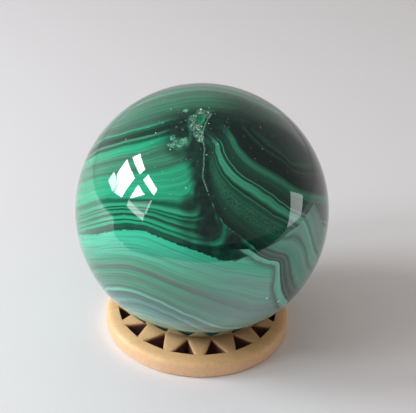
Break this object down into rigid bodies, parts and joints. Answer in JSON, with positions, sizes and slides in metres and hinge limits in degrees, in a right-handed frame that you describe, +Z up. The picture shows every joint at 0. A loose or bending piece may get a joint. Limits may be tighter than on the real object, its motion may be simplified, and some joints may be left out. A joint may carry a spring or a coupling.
{
  "type": "malachite sphere on ring stand",
  "caption": "Polished banded malachite sphere resting on a low turned wooden ring stand with triangular fretwork; a desk or shelf ornament.",
  "frame": {"origin": "centre of the ring stand's underside, on the surface it stands on", "axes": "+Z up along the ring's axis through the ball's centre, -Y towards the front of the picture"},
  "size_m": [0.052, 0.052, 0.0541],
  "materials": {
    "malachite": "polished, banded light and dark green",
    "stand_wood": "smooth bare pale wood, barely sealed"
  },
  "bodies": {
    "root": {"malachite_ball": "malachite", "ring_stand": "stand_wood"}
  },
  "joints": []
}
